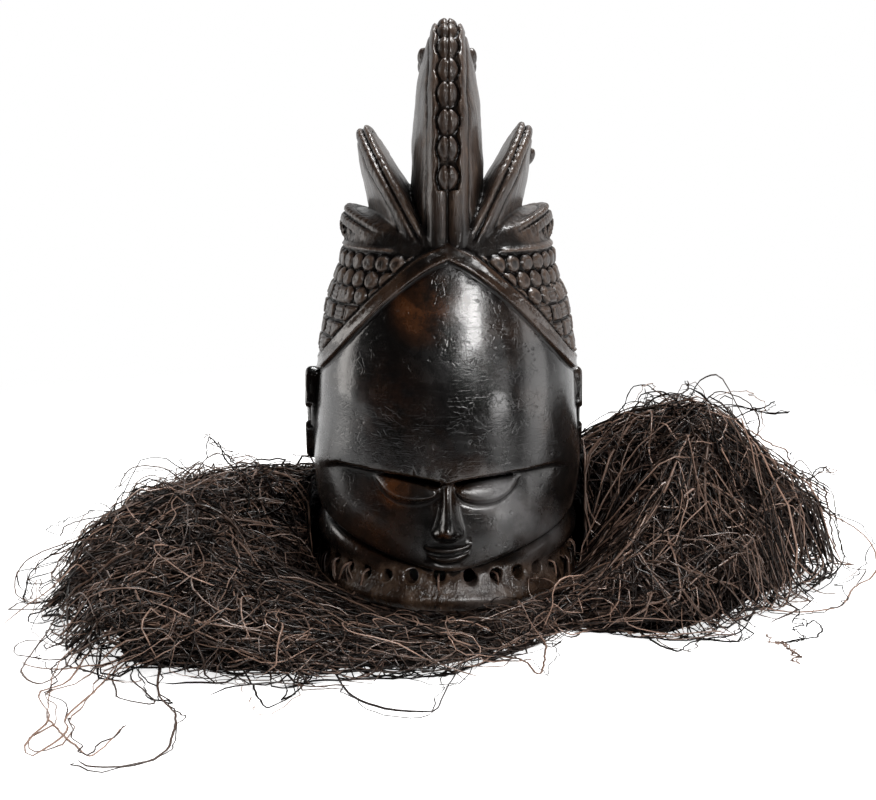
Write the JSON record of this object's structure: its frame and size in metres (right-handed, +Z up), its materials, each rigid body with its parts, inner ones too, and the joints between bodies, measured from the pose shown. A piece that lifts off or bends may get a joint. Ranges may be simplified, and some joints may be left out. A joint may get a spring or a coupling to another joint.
{
  "type": "sowei helmet mask",
  "caption": "Carved wooden helmet mask with a smooth high forehead, slit eyes, ringed neck and tall lobed coiffure, standing in a heap of dark raffia tied to its rim.",
  "frame": {"origin": "middle of the object's footprint, on the surface that it stands on", "axes": "+Z up, the face looks along -Y, +X is to the right of someone who faces the mask"},
  "size_m": [0.6742, 0.581, 0.4285],
  "materials": {
    "dark_wood": "black-brown stained and oiled wood, polished by handling, with brown wear",
    "raffia_fibre": "dry, kinked, dark dyed raffia"
  },
  "bodies": {
    "root": {"wooden_mask": "dark_wood", "raffia_front": "raffia_fibre", "raffia_right": "raffia_fibre", "raffia_left": "raffia_fibre", "raffia_back": "raffia_fibre"}
  },
  "joints": []
}
